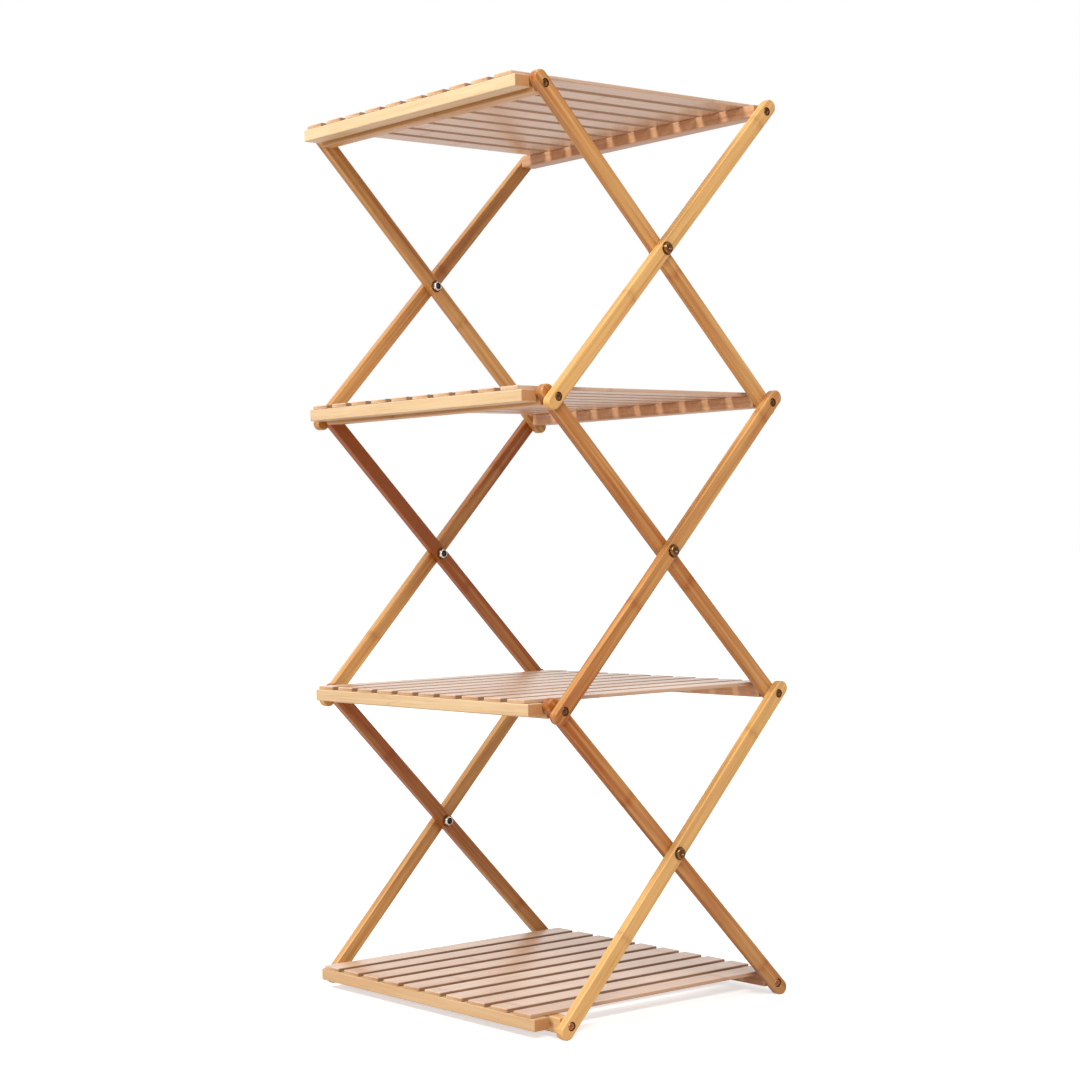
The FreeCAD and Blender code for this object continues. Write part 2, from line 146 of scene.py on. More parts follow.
# The floor's half width in metres, how brightly it glows by itself under the rack, and the distances in
# metres between which that glow grows to full white
FLOOR_REACH = 30.0
FLOOR_GLOW = 0.6
GLOW_NEAR = 0.5
GLOW_FAR = 4.5


def colour(red, green, blue):
    """A linear colour from the red, green and blue of a display, each up to 255."""
    shares = (value / 255 for value in (red, green, blue))
    return tuple(share / 12.92 if share < 0.04045 else ((share + 0.055) / 1.055) ** 2.4 for share in shares)


def length_property(name, description, default):
    """A size in metres that the panel shows as a length."""
    return FloatProperty(
        name=name, description=description, default=default, min=0, unit="LENGTH", precision=5
    )


def colour_property(name, description, default):
    """A colour that the panel shows as a swatch."""
    return FloatVectorProperty(
        name=name, description=description, default=default, size=3, min=0, max=1, subtype="COLOR"
    )


class RackSizes(PropertyGroup):
    """Sizes of the finer shapes."""

    bar_width: length_property("Bar width", "Width of a frame bar, seen from the side", 0.016)
    bar_round: length_property("Bar rounding", "Rounding of a frame bar's edges", 0.0015)
    rail_round: length_property("Rail rounding", "Rounding of a front rail's edges", 0.0015)
    batten_round: length_property("Batten rounding", "Rounding of a batten's edges", 0.0012)
    slat_round: length_property("Slat rounding", "Rounding of a slat's edges", 0.0009)
    slat_count: IntProperty(name="Slats", description="Slats on one shelf", default=10, min=2)
    slat_gap: length_property("Slat gap", "Between two slats", 0.010)
    slat_stagger: length_property("Slat stagger", "How far a slat's end may stand back", 0.0004)
    hole_radius: length_property("Pivot hole", "Hole for a pivot screw in a bar", 0.0021)
    bolt_hole_radius: length_property("Bolt hole", "Hole for a crossing bolt in a bar", 0.0031)
    recess_radius: length_property("Recess", "Recess for a pivot screw's head", 0.0046)
    recess_depth: length_property("Recess depth", "Depth of the recess for a screw's head", 0.0026)
    rim_chamfer: length_property("Rim chamfer", "Chamfer round a hole's rim", 0.0003)
    screw_radius: length_property("Screw shank", "Shank of a pivot screw", 0.002)
    screw_point: length_property("Screw point", "Length of a pivot screw's tapered point", 0.005)
    screw_head_radius: length_property("Screw head", "Head of a pivot screw", 0.0039)
    screw_head_height: length_property("Screw head height", "Height of a pivot screw's head", 0.002)
    slot_reach: length_property("Slot reach", "From a screw's centre to the end of its slot", 0.0023)
    slot_width: length_property("Slot width", "Width of a screw's slot", 0.0011)
    slot_depth: length_property("Slot depth", "Depth of a screw's slot", 0.0013)
    bolt_radius: length_property("Bolt shank", "Shank of a crossing bolt", 0.003)
    bolt_head_radius: length_property("Bolt head", "Domed head of a crossing bolt", 0.0062)
    bolt_head_height: length_property("Bolt head height", "Height of a crossing bolt's head", 0.0032)
    socket_across: length_property("Socket", "Six-sided socket of a bolt, across its flats", 0.004)
    socket_depth: length_property("Socket depth", "Depth of a bolt's socket", 0.002)
    nut_across: length_property("Nut", "Nut of a crossing bolt, across its flats", 0.01)
    nut_collar: length_property("Nut collar", "Height of a nut's round collar", 0.0013)
    insert_radius: length_property("Nut insert", "Dark ring inside a nut's collar", 0.0038)
    bolt_inset: length_property("Bolt inset", "From a nut's face to the bolt's end in it", 0.0006)
    brad_radius: length_property("Brad", "Radius of the brads that hold the slats", 0.0006)


class RackColours(PropertyGroup):
    """Colours of the woods and metals."""

    bar_light: colour_property("Bar light", "Light tone of the frame bars", colour(225, 176, 108))
    bar_deep: colour_property("Bar deep", "Deep tone of the frame bars", colour(160, 84, 18))
    rail_light: colour_property("Rail light", "Light tone of the front rails", colour(226, 184, 128))
    rail_deep: colour_property("Rail deep", "Deep tone of the front rails", colour(186, 124, 64))
    slat_light: colour_property("Slat light", "Light tone of the slats", colour(235, 205, 179))
    slat_deep: colour_property("Slat deep", "Deep tone of the slats", colour(204, 159, 125))
    batten_light: colour_property("Batten light", "Light tone of the battens", colour(225, 200, 158))
    batten_deep: colour_property("Batten deep", "Deep tone of the battens", colour(197, 148, 94))
    # The back battens' colours are deeper than the front ones' as painted shade under the slats
    rear_shaded_light: colour_property("Rear batten light", "Light tone of back battens", colour(232, 188, 146))
    rear_shaded_deep: colour_property("Rear batten deep", "Deep tone of back battens", colour(162, 100, 54))
    # The slats' narrow sides are dark as painted shade of the gaps between them
    slat_gap_shade: colour_property("Slat edges", "Narrow edges of the slats", colour(128, 92, 64))
    block_cut: colour_property("Cut ends", "Cut ends of the rails and battens", colour(178, 118, 66))
    fibre: colour_property("Fibre", "Dark fibres and nodes of the bamboo", colour(112, 62, 26))
    brass_worn: colour_property("Brass worn", "Worn places of the aged brass", colour(168, 124, 78))
    brass_aged: colour_property("Brass aged", "Aged places of the brass", colour(58, 38, 24))
    copper_worn: colour_property("Copper worn", "Worn places of the coppery screws", colour(206, 146, 108))
    copper_aged: colour_property("Copper aged", "Aged places of the coppery screws", colour(112, 62, 38))
    nickel_bright: colour_property("Nickel bright", "Bright places of the nuts", colour(238, 234, 230))
    nickel_dull: colour_property("Nickel dull", "Dull places of the nuts", colour(186, 182, 178))
    insert: colour_property("Insert", "Dark ring inside the nuts", colour(22, 16, 14))
    bolt_end: colour_property("Bolt end", "Plain steel end of a bolt", colour(70, 66, 64))
    # The walls of the holes and recesses are painted dark as the shade inside them
    bore_shade: colour_property("Shaded bore", "Painted shade inside the holes", colour(96, 46, 20))
    steel_bright: colour_property("Steel bright", "Bright places of the brads", colour(190, 188, 184))
    steel_dull: colour_property("Steel dull", "Dull places of the brads", colour(120, 112, 102))
    floor: colour_property("Floor", "The floor", colour(236, 235, 233))
    bounce: colour_property("Floor bounce", "The floor's light on the rack", colour(218, 206, 198))


# Nodes


def add_node(tree, kind, inputs=(), **settings):
    """A node with its settings, and each of its inputs linked to a socket or set to a value."""
    node = tree.nodes.new(kind)
    for name, value in settings.items():
        setattr(node, name, value)
    for key, value in dict(inputs).items():
        if isinstance(value, bpy.types.NodeSocket):
            tree.links.new(value, node.inputs[key])
        else:
            node.inputs[key].default_value = value
    return node


def maths(tree, operation, first, second=0.0, third=0.0, clamp=False):
    """The result of one sum."""
    inputs = {0: first, 1: second, 2: third}
    return add_node(tree, "ShaderNodeMath", inputs, operation=operation, use_clamp=clamp).outputs[0]


def spread(tree, value, low, high, new_low=0.0, new_high=1.0):
    """A value's range, smoothly turned into another range."""
    inputs = {"Value": value, "From Min": low, "From Max": high, "To Min": new_low, "To Max": new_high}
    node = add_node(tree, "ShaderNodeMapRange", inputs, interpolation_type="SMOOTHSTEP")
    return node.outputs["Result"]


def blended(tree, share, first, second):
    """A colour between two others."""
    inputs = {0: share, 6: first, 7: second}
    return add_node(tree, "ShaderNodeMix", inputs, data_type="RGBA").outputs[2]


def swung(tree, pattern, reach, base):
    """A value moved up and down by a pattern that lies round a half."""
    return maths(tree, "MULTIPLY_ADD", maths(tree, "SUBTRACT", pattern, 0.5), reach, base)


def stretched(tree, place, along, across):
    """A place with its lengthwise part and its other parts scaled, as grain needs."""
    inputs = {0: place, 1: (along, across, across)}
    return add_node(tree, "ShaderNodeVectorMath", inputs, operation="MULTIPLY").outputs[0]


def cloud(tree, place, scale=1.0, detail=2.0, roughness=0.5):
    """Soft noise at a place."""
    inputs = {"Vector": place, "Scale": scale, "Detail": detail, "Roughness": roughness}
    return add_node(tree, "ShaderNodeTexNoise", inputs).outputs["Fac"]


def chance_value(tree, number):
    """A value between nought and one that a whole number alone decides."""
    return add_node(tree, "ShaderNodeTexWhiteNoise", {"W": number}, noise_dimensions="1D").outputs["Value"]


def new_group(name, inputs):
    """An empty shader group with its sockets, named under their kinds, and its two ends.

    Every group puts out a colour, a roughness and a height."""
    group = bpy.data.node_groups.new(name, "ShaderNodeTree")
    outputs = {"Color": ("Colour",), "Float": ("Roughness", "Height")}
    for in_out, kinds in (("INPUT", inputs), ("OUTPUT", outputs)):
        for kind, sockets in kinds.items():
            for socket in sockets:
                group.interface.new_socket(name=socket, in_out=in_out, socket_type=f"NodeSocket{kind}")
    return group, group.nodes.new("NodeGroupInput").outputs, group.nodes.new("NodeGroupOutput").inputs


def bamboo_group():
    """Laminated bamboo: strips of differing tone, streaks, fine fibres and the cane's nodes."""
    group, given, made = new_group(
        "Bamboo grain",
        {
            "Vector": ("Place",),
            "Float": ("Tone", "Edge", "Cut", "Strips per metre", "Node spacing", "Streak strength"),
            "Color": ("Light", "Deep", "Cut or gap shade tone", "Fibre"),
        },
    )
    place = given["Place"]
    parts = add_node(group, "ShaderNodeSeparateXYZ", {0: place}).outputs
    strip = maths(group, "MULTIPLY", parts[1], given["Strips per metre"])
    strip_index = maths(group, "FLOOR", strip)
    strip_tone = chance_value(group, strip_index)
    strip_side = maths(group, "ABSOLUTE", maths(group, "SUBTRACT", maths(group, "FRACT", strip), 0.5))
    seam = spread(group, strip_side, 0.4, 0.5)

    streaks = cloud(group, stretched(group, place, along=6, across=210))
    fibres = cloud(group, stretched(group, place, along=18, across=800), detail=1, roughness=0.6)
    patches = cloud(group, stretched(group, place, along=5, across=40))
    fibre_marks = spread(group, fibres, 0.52, 0.72)

    turn = maths(group, "DIVIDE", parts[0], given["Node spacing"])
    scatter = maths(group, "MULTIPLY_ADD", strip_tone, 0.012, maths(group, "MULTIPLY", streaks, 0.02))
    shifted = maths(group, "ADD", turn, scatter)
    from_node = maths(group, "ABSOLUTE", maths(group, "SUBTRACT", maths(group, "FRACT", shifted), 0.5))
    node_reach = maths(group, "MULTIPLY", from_node, given["Node spacing"])
    node_line = spread(group, node_reach, 0.0006, 0.0022, 1, 0)
    node_band = spread(group, node_reach, 0.002, 0.009, 1, 0)
    segment = chance_value(group, maths(group, "ROUND", shifted))

    tone = swung(group, streaks, given["Streak strength"], given["Tone"])
    for pattern, reach in ((strip_tone, 0.12), (segment, 0.12), (patches, 0.5)):
        tone = swung(group, pattern, reach, tone)
    tone = maths(group, "MULTIPLY_ADD", node_band, 0.14, tone)
    tone = maths(group, "MULTIPLY_ADD", given["Edge"], -0.1, tone, clamp=True)
    wood = blended(group, tone, given["Light"], given["Deep"])
    wood = blended(group, maths(group, "MULTIPLY", given["Cut"], 0.85), wood, given["Cut or gap shade tone"])
    for mask, share in ((fibre_marks, 0.16), (seam, 0.1), (node_line, 0.16)):
        wood = blended(group, maths(group, "MULTIPLY", mask, share), wood, given["Fibre"])
    group.links.new(wood, made["Colour"])

    rough = 0.34
    for mask, share in ((fibre_marks, 0.12), (patches, 0.14), (node_band, 0.06), (given["Cut"], 0.12)):
        rough = maths(group, "MULTIPLY_ADD", mask, share, rough)
    group.links.new(rough, made["Roughness"])
    height = maths(group, "MULTIPLY_ADD", fibre_marks, -0.3, streaks)
    height = maths(group, "MULTIPLY_ADD", node_band, 0.5, height)
    group.links.new(height, made["Height"])
    return group


def aged_metal_group():
    """Metal with an uneven aged film, worn bright along its edges."""
    group, given, made = new_group(
        "Aged metal",
        {"Vector": ("Place",), "Float": ("Edge", "Film", "Smoothness"), "Color": ("Worn", "Aged")},
    )
    place = given["Place"]
    blotches = cloud(group, place, scale=620, detail=4, roughness=0.6)
    scratches = cloud(group, stretched(group, place, along=900, across=5200), roughness=0.6)
    film = swung(group, blotches, 1.3, given["Film"])
    film = swung(group, scratches, 0.5, film)
    film = maths(group, "MULTIPLY_ADD", given["Edge"], -0.45, film, clamp=True)
    group.links.new(blended(group, film, given["Worn"], given["Aged"]), made["Colour"])
    rough = maths(group, "MULTIPLY_ADD", film, 0.22, maths(group, "SUBTRACT", 0.5, given["Smoothness"]))
    rough = maths(group, "MULTIPLY_ADD", scratches, 0.12, rough, clamp=True)
    group.links.new(rough, made["Roughness"])
    group.links.new(maths(group, "MULTIPLY_ADD", scratches, 0.5, blotches), made["Height"])
    return group


def effect(name, build):
    """A shader group, built once."""
    return bpy.data.node_groups.get(name) or build()


def new_material(name):
    """A material with a plain shader that its patterns feed."""
    material = bpy.data.materials.new(name)
    material.use_nodes = True
    tree = material.node_tree
    return material, tree, tree.nodes["Principled BSDF"]


def mark(tree, name, output):
    """A value that each point of a piece carries."""
    return add_node(tree, "ShaderNodeAttribute", attribute_name=name).outputs[output]


def feed_shader(tree, shader, group, inputs, bump_strength, bump_distance):
    """Place a group with its own values, and join its colour, roughness and height to a shader."""
    made = add_node(tree, "ShaderNodeGroup", inputs, node_tree=group).outputs
    tree.links.new(made["Colour"], shader.inputs["Base Color"])
    tree.links.new(made["Roughness"], shader.inputs["Roughness"])
    relief = {"Height": made["Height"], "Strength": bump_strength, "Distance": bump_distance}
    bump = add_node(tree, "ShaderNodeBump", relief)
    tree.links.new(bump.outputs["Normal"], shader.inputs["Normal"])


def bamboo(name, tones, strips=185.0, spacing=0.27, streaks=0.9, lacquer=0.3, shine=0.5):
    """Lacquered bamboo in a light and a deep tone, with its cut ends in a third; on the slats' sides the
    third is painted shade of the gaps.

    It has so many strips to the metre, and the cane's nodes so far apart in metres."""
    found = bpy.data.materials.get(name)
    if found:
        return found
    material, tree, shader = new_material(name)
    light, deep, cut = tones
    fibre = bpy.context.scene.rack_colours.fibre
    group = effect("Bamboo grain", bamboo_group)
    inputs = {
        "Place": mark(tree, "grain", "Vector"),
        "Tone": mark(tree, "tone", "Fac"),
        "Edge": mark(tree, "edge", "Fac"),
        "Cut": mark(tree, "cut", "Fac"),
        "Light": (*light, 1),
        "Deep": (*deep, 1),
        "Cut or gap shade tone": (*cut, 1),
        "Fibre": (*fibre, 1),
        "Strips per metre": strips,
        "Node spacing": spacing,
        "Streak strength": streaks,
    }
    feed_shader(tree, shader, group, inputs, bump_strength=0.07, bump_distance=0.0003)
    shader.inputs["Coat Weight"].default_value = lacquer
    shader.inputs["Coat Roughness"].default_value = 0.22
    shader.inputs["Specular IOR Level"].default_value = shine
    return material


def metal(name, worn, aged, film, smoothness, metallic=1.0):
    """Metal with an aged film."""
    found = bpy.data.materials.get(name)
    if found:
        return found
    material, tree, shader = new_material(name)
    group = effect("Aged metal", aged_metal_group)
    inputs = {
        "Place": mark(tree, "grain", "Vector"),
        "Edge": mark(tree, "edge", "Fac"),
        "Worn": (*worn, 1),
        "Aged": (*aged, 1),
        "Film": film,
        "Smoothness": smoothness,
    }
    feed_shader(tree, shader, group, inputs, bump_strength=0.2, bump_distance=0.00005)
    shader.inputs["Metallic"].default_value = metallic
    return material


# Shapes


class Shape:
    """A mesh in the making.

    Each point carries its place in the grain, its tone (with painted shade on the bars), how near an edge
    it is,
    and how far it takes the cut tone: cut wood, or painted shade on the slats' sides."""

    def __init__(self, name):
        self.name = name
        self.mesh = bmesh.new()
        self.grain = self.mesh.verts.layers.float_vector.new("grain")
        self.tone = self.mesh.verts.layers.float.new("tone")
        self.edge = self.mesh.verts.layers.float.new("edge")
        self.cut = self.mesh.verts.layers.float.new("cut")
        self.placing = Matrix.Identity(4)
        self.grain_shift = Vector()
        self.piece_tone = 0.0
        self.tone_and_shade_rise = 0.0
        self.finish_index = 0

    def start_piece(self, placing, seed, tone=0.0, tone_and_shade_rise=0.0):
        """From here on, points are drawn in this place, with a grain and a tone of their own.

        The tone can rise along the grain, by so much per metre; on the bars this rise is mostly painted
        shade."""
        chance = random.Random(seed)
        self.placing = placing
        self.grain_shift = Vector((chance.uniform(1, 9), chance.uniform(1, 9), chance.uniform(1, 9)))
        self.piece_tone = tone
        self.tone_and_shade_rise = tone_and_shade_rise
        self.finish_index = 0

    def ring(self, points):
        """A loop of points: each one's place, how near an edge it is, and how far it takes the cut tone,
        painted shade on the slats' sides.
        """
        made = []
        for point, edge, *cut in points:
            vert = self.mesh.verts.new(self.placing @ point)
            vert[self.grain] = point + self.grain_shift
            vert[self.tone] = self.piece_tone + self.tone_and_shade_rise * point.x
            vert[self.edge] = edge
            vert[self.cut] = cut[0] if cut else 0
            made.append(vert)
        return made

    def face(self, verts):
        """A face in the current finish."""
        made = self.mesh.faces.new(verts)
        made.material_index = self.finish_index
        made.smooth = True

    def loft(self, rings):
        """Faces from each ring to the next. The rings have one number of points."""
        for low, high in zip(rings, rings[1:]):
            count = len(low)
            for index in range(count):
                following = (index + 1) % count
                self.face((low[index], low[following], high[following], high[index]))

    def flat(self, rings):
        """A flat face inside the first ring, with the other rings as holes in it."""
        edges = []
        for ring in rings:
            for index, vert in enumerate(ring):
                following = ring[(index + 1) % len(ring)]
                known = self.mesh.edges.get((vert, following))
                edges.append(known or self.mesh.edges.new((vert, following)))
        made = bmesh.ops.triangle_fill(self.mesh, edges=edges, use_beauty=True)
        for item in made["geom"]:
            if isinstance(item, bmesh.types.BMFace):
                item.material_index = self.finish_index
                item.smooth = True

    def finish(self, slot, node, finishes):
        """The finished piece: it rides on its body and stands for its node."""
        body = body_of_node(node)
        bmesh.ops.recalc_face_normals(self.mesh, faces=self.mesh.faces)
        data = bpy.data.meshes.new(self.name)
        self.mesh.to_mesh(data)
        self.mesh.free()
        for finish in finishes:
            data.materials.append(finish)
        piece = bpy.data.objects.new(self.name, data)
        bpy.context.scene.collection.objects.link(piece)
        weighted = piece.modifiers.new("Even normals", "WEIGHTED_NORMAL")
        weighted.keep_sharp = True
        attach(piece, body)
        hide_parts(node)


def rounding(radius):
    """Steps of a rounded edge: how far in and how deep each is, and how near the edge's middle."""
    steps = []
    for step in range(ROUND_STEPS + 1):
        angle = math.radians(90) * step / ROUND_STEPS
        steps.append((radius * (1 - math.sin(angle)), radius * (1 - math.cos(angle)), math.sin(2 * angle)))
    return steps


def circle(radius, height, steps, edge=0.0, centre=0.0):
    """Points of a level circle round a centre on the X axis."""
    points = []
    for index in range(steps):
        turn = 2 * math.pi * index / steps
        points.append((Vector((centre + radius * math.cos(turn), radius * math.sin(turn), height)), edge))
    return points


def socket_outline(across_flats, height):
    """Corners of a level six-sided outline."""
    radius = across_flats / 2 / math.cos(math.pi / 6)
    return circle(radius, height, 6)


def block(shape, size, radius, end_cut=1.0, side_shades=(0.0, 0.0), end_finish=0):
    """A rounded block about its own middle, with its grain along X.

    The end cut says how far its ends take the tone of cut wood, and the side shades how far its two sides
    take it, which on the slats is painted shade of the gaps between them. Its flat ends have a finish of
    their own."""
    half = size / 2

    def section(along, inset, ring_edge):
        points = []
        near_end = end_cut * inset / radius
        for side_y, side_z, first in ((1, 1, 0), (-1, 1, 90), (-1, -1, 180), (1, -1, 270)):
            for step in range(ROUND_STEPS + 1):
                angle = math.radians(first + 90 * step / ROUND_STEPS)
                corner = radius - inset
                across = side_y * (half.y - radius) + corner * math.cos(angle)
                up = side_z * (half.z - radius) + corner * math.sin(angle)
                corner_edge = abs(math.sin(2 * angle))
                cut = max(near_end, side_shades[side_y > 0] * abs(math.cos(angle)))
                points.append((Vector((along, across, up)), max(ring_edge, corner_edge), cut))
        return shape.ring(points)

    rings = [section(-half.x + deep, inset, edge) for inset, deep, edge in rounding(radius)]
    rings += [section(half.x - deep, inset, edge) for inset, deep, edge in reversed(rounding(radius))]
    shape.loft(rings)
    shape.finish_index = end_finish
    shape.face(rings[0])
    shape.face(rings[-1])


def stadium(reach, half_width, height, edge):
    """Points of a level outline with two round ends."""
    points = []
    for end, first in ((1, -90), (-1, 90)):
        for step in range(TIP_STEPS + 1):
            angle = math.radians(first + 180 * step / TIP_STEPS)
            across = half_width * math.sin(angle)
            points.append((Vector((end * reach + half_width * math.cos(angle), across, height)), edge))
    return points


def round_rings(shape, profile, steps, centre=0.0):
    """Level rings, each with its radius, its height and how near an edge it is."""
    return [shape.ring(circle(radius, height, steps, edge, centre)) for radius, height, edge in profile]


def turned(shape, profile, steps=HEAD_STEPS):
    """The rings of a turned piece, with faces between them."""
    rings = round_rings(shape, profile, steps)
    shape.loft(rings)
    return rings


def middle(node):
    """The middle of a node's box."""
    low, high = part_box(node)
    return (low + high) / 2


def pivot(level, line):
    """The middle of a line of pivots, from the pair of screws on it."""
    place = middle(f"{SHELVES[level]}_{line}_screws")
    return Vector((0, place.y, place.z))


def body_of_node(node):
    """The body on which a node rides."""
    bodies = frame["record"]["behaviour"]["bodies"]
    return next(body for body, members in bodies.items() if node in members)


def beside(node, side, distance):
    """A place in line with a pair of fasteners, so far out from the rack's middle plane on one side."""
    low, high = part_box(node)
    return Vector((side * distance, (low.y + high.y) / 2, (low.z + high.z) / 2))


def facing(side, place):
    """A placing at a place, with its Z pointing out of the rack on one side."""
    across = Vector((0, side, 0))
    up = Vector((0, 0, 1))
    turn = Matrix((across, up, Vector((side, 0, 0)))).transposed().to_4x4()
    return Matrix.Translation(place) @ turn


# Wooden pieces


def frame_bar(sizes, tier, side_name, layer, finishes):
    """One bar of a crossed pair, with its holes and the recesses for its screws."""
    name = f"{TIERS[tier]}_{side_name}_{layer}_bar"
    side = SIDES[side_name]
    low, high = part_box(name)
    start, end = ("back", "front") if layer == "inner" else ("front", "back")
    foot, head = pivot(tier, start), pivot(tier + 1, end)
    along = (head - foot).normalized()
    outward = Vector((side, 0, 0))
    across = outward.cross(along)
    inside = low.x if side > 0 else high.x
    centre = (foot + head) / 2 + Vector((inside, 0, 0))
    turn = Matrix((along, across, outward)).transposed().to_4x4()
    reach = (head - foot).length / 2
    half_width = sizes.bar_width / 2
    tip_centre = ((high.z - low.z) / 2 - half_width) / along.z
    thick = high.x - low.x

    shape = Shape(f"{name}_look")
    # Each bar's own tone, deepened towards its head and on the far side as painted shade
    foot_tone_and_shade, head_tone_and_shade = BAR_TONES_AND_SHADE[f"{TIERS[tier]}_{side_name}_{layer}"]
    tone = (foot_tone_and_shade + head_tone_and_shade) / 2
    tone_and_shade_rise = (head_tone_and_shade - foot_tone_and_shade) / 2 / reach
    shape.start_piece(Matrix.Translation(centre) @ turn, name, tone, tone_and_shade_rise)
    levels = rounding(sizes.bar_round)
    levels += [(inset, thick - deep, edge) for inset, deep, edge in reversed(levels)]
    outline = []
    for inset, height, edge in levels:
        outline.append(shape.ring(stadium(tip_centre, half_width - inset, height, edge)))
    shape.loft(outline)

    recessed_ends = (-1, 1) if layer == "outer" else BARE_INNER_ENDS.get(TIERS[tier], ())
    rim = sizes.rim_chamfer
    inner_rims, outer_rims = [], []
    for end_sign in (-1, 0, 1):
        radius = sizes.hole_radius if end_sign else sizes.bolt_hole_radius
        profile = [(radius + rim, 0, 0), (radius, rim, 1)]
        if end_sign in recessed_ends:
            floor = thick - sizes.recess_depth
            profile += [(radius, floor, 0), (sizes.recess_radius, floor, 0)]
            radius = sizes.recess_radius
        profile += [(radius, thick - rim, 1), (radius + rim, thick, 0)]
        rings = round_rings(shape, profile, HOLE_STEPS, end_sign * reach)
        shape.loft(rings[:2])
        shape.loft(rings[-2:])
        # The walls of the holes take the second finish, painted dark as the shade inside them
        shape.finish_index = 1
        shape.loft(rings[1:-1])
        shape.finish_index = 0
        inner_rims.append(rings[0])
        outer_rims.append(rings[-1])
    shape.flat([outline[0], *inner_rims])
    shape.flat([outline[-1], *outer_rims])
    shape.finish("bamboo_bar", name, finishes)


def long_block(node, radius, slot, finish, tone):
    """A rounded block in a node's place, with its grain across the rack."""
    low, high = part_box(node)
    shape = Shape(f"{node}_look")
    shape.start_piece(Matrix.Translation(middle(node)), node, tone)
    block(shape, high - low, radius)
    shape.finish(slot, node, [finish])


def shelf_slats(sizes, shelf, finishes):
    """The slats of one shelf, each with its own grain, tone and slightly uneven ends."""
    node = f"{shelf}_shelf_slats"
    low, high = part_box(node)
    count = sizes.slat_count
    width = (high.x - low.x - (count - 1) * sizes.slat_gap) / count
    quarter_turn = Matrix.Rotation(math.radians(90), 4, "Z")
    shape = Shape(f"{node}_look")
    for index in range(count):
        chance = random.Random(f"{node}{index}")
        front = low.y + chance.uniform(0, sizes.slat_stagger)
        back = high.y - chance.uniform(0, sizes.slat_stagger)
        centre_x = low.x + width / 2 + index * (width + sizes.slat_gap)
        centre = Vector((centre_x, (front + back) / 2, (low.z + high.z) / 2))
        size = Vector((back - front, width, high.z - low.z))
        tone = chance.uniform(*SLAT_TONES[shelf])
        shape.start_piece(Matrix.Translation(centre) @ quarter_turn, f"{node}{index}", tone)
        # Inner sides take the dark edge colour in full as painted shade of the gaps; the outermost sides
        # take less
        side_shades = (OUTSIDE_GAP_SHADE if index == count - 1 else 1, OUTSIDE_GAP_SHADE if index == 0 else 1)
        block(shape, size, sizes.slat_round, end_cut=0, side_shades=side_shades, end_finish=1)
    shape.finish("bamboo_slat", node, finishes)


# Fasteners


def shank(shape, radius, tip, taper):
    """A shank from a head's seat down to its tapered tip."""
    tip_radius = radius * 0.3
    profile = [(radius, 0, 0), (radius, tip + taper, 0), (tip_radius, tip, 0)]
    shape.face(turned(shape, profile, HOLE_STEPS)[-1])


def cross_outline(reach, width, height, drawn_in=0.0):
    """Corners of a cross-shaped slot, drawn in by a share towards its bottom."""
    near = width / 2 * (1 - drawn_in)
    far = reach * (1 - drawn_in)
    corners = ((far, near), (near, near), (near, far))
    points = []
    for across, up in ((1, 1), (-1, 1), (-1, -1), (1, -1)):
        quarter = [Vector((across * x, up * y, height)) for x, y in corners]
        points += reversed(quarter) if across != up else quarter
    return [(point, 0.0) for point in points]


def pan_head(shape, radius, height, crown_share, rise):
    """A low rounded head, with the ring round its crown as the result.

    The crown is a share of the head's radius, and the rise is the rounded share of its height."""
    crown = radius * crown_share
    foot_radius = radius * 0.98
    foot_height = height * 0.12
    profile = [(foot_radius, 0, 0), (radius, foot_height, 0.3)]
    for step in range(1, CROWN_STEPS + 1):
        angle = math.radians(90) * step / CROWN_STEPS
        across = crown + (radius - crown) * math.cos(angle)
        up = height * (1 - rise) + height * rise * math.sin(angle)
        profile.append((across, up, math.sin(2 * angle) * 0.8))
    return turned(shape, profile)[-1]


def sink(shape, crown_ring, outline, bottom):
    """A driver slot or socket in a head's crown."""
    top_ring = shape.ring(outline)
    bottom_ring = shape.ring(bottom)
    shape.flat([crown_ring, top_ring])
    shape.loft([top_ring, bottom_ring])
    shape.flat([bottom_ring])


def screw_pair(sizes, node, finish):
    """A pair of pivot screws with cross-slotted heads."""
    low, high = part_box(node)
    height = sizes.screw_head_height
    shape = Shape(f"{node}_look")
    for side in (-1, 1):
        seat = (high.x if side > 0 else -low.x) - height
        shape.start_piece(facing(side, beside(node, side, seat)), f"{node}{side}")
        twist = Matrix.Rotation(random.Random(f"{node}{side}twist").uniform(0, math.pi / 2), 4, "Z")
        shape.placing = shape.placing @ twist
        crown_ring = pan_head(shape, sizes.screw_head_radius, height, crown_share=0.7, rise=0.55)
        slot = (sizes.slot_reach, sizes.slot_width)
        slot_floor = cross_outline(*slot, height - sizes.slot_depth, drawn_in=0.35)
        sink(shape, crown_ring, cross_outline(*slot, height), slot_floor)
        shank(shape, sizes.screw_radius, inner_face(node) - seat, sizes.screw_point)
    shape.finish("aged_brass_screws", node, [finish])


